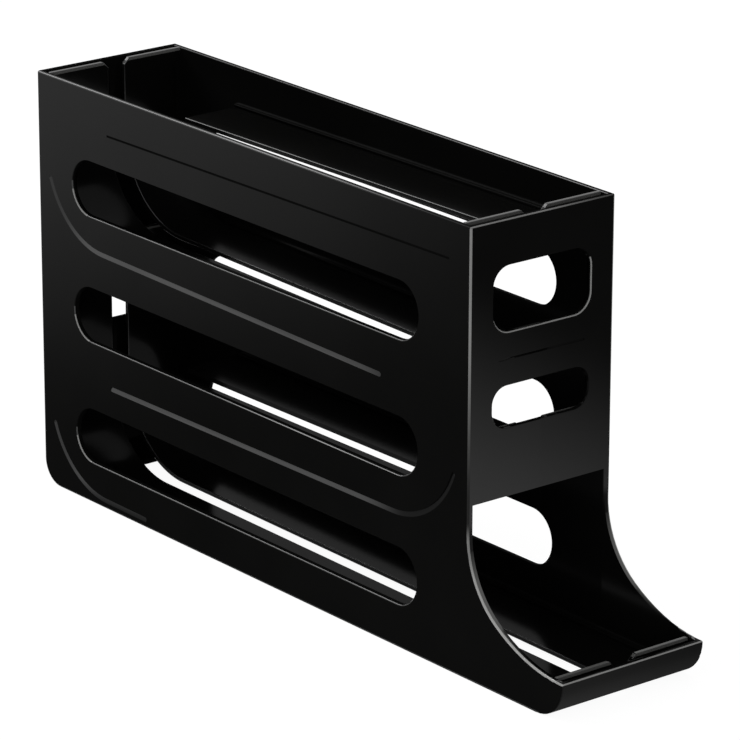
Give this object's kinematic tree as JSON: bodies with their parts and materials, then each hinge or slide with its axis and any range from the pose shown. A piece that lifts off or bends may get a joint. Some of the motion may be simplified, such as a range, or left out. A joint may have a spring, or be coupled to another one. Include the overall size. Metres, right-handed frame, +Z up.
{
  "type": "rolling egg dispenser",
  "caption": "Narrow free-standing casing, open on top, whose sloping split runners roll eggs down a zig-zag to a scooped front tray, with slotted sides and a windowed front.",
  "frame": {"origin": "middle of the casing's underside", "axes": "+X towards the tray at the front, +Y towards the right-hand side as seen from in front, +Z up"},
  "size_m": [0.378, 0.08, 0.2032],
  "materials": {
    "shell": "satin black moulded plastic",
    "runner": "satin black moulded plastic"
  },
  "bodies": {
    "root": {"left_shell": "shell", "right_shell": "shell", "tier_1_left_runner": "runner", "tier_1_right_runner": "runner", "tier_2_left_runner": "runner", "tier_2_right_runner": "runner", "tier_3_left_runner": "runner", "tier_3_right_runner": "runner", "tier_4_left_runner": "runner", "tier_4_right_runner": "runner"}
  },
  "joints": []
}
